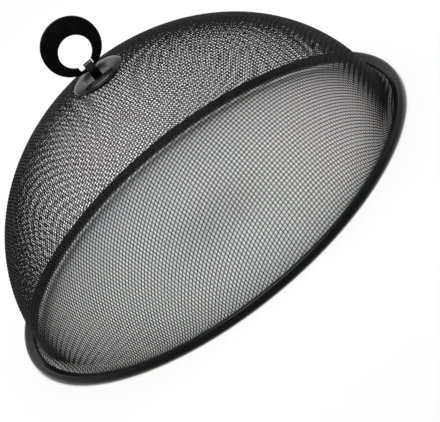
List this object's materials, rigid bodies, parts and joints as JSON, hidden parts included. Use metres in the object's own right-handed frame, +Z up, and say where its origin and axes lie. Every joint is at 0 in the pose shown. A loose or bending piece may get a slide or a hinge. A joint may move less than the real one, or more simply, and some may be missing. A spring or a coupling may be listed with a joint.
{
  "type": "mesh food cover",
  "caption": "Domed wire mesh food cover with a rolled steel rim, a pressed plate on the crown and a swinging lifting ring.",
  "frame": {"origin": "on the dome's axis, in the plane the rim stands on", "axes": "+Z up along the dome's axis, X along the ring's hinge, the ring's flat side facing -Y, towards the camera in the picture"},
  "size_m": [0.3, 0.3004, 0.1663],
  "materials": {
    "mesh_wire": "semi-gloss black coating on woven steel wire",
    "rim_paint": "semi-gloss black enamel",
    "hoop_steel": "plain drawn wire, hidden in the rolled rim",
    "plate_enamel": "gloss black enamel",
    "bail_paint": "satin black",
    "ring_paint": "satin black"
  },
  "bodies": {
    "cover": {"mesh_dome": "mesh_wire", "rim_band": "rim_paint", "hoop_wire": "hoop_steel", "handle_plate": "plate_enamel", "backing_washer": "plate_enamel", "handle_bail": "bail_paint"},
    "ring": {"ring_handle": "ring_paint"}
  },
  "joints": [
    {"name": "ring_swing", "type": "hinge", "parent": "cover", "child": "ring", "pos_m": [0, 0, 0.12855], "axis": [1, 0, 0], "range_deg": [-102, 102]}
  ]
}
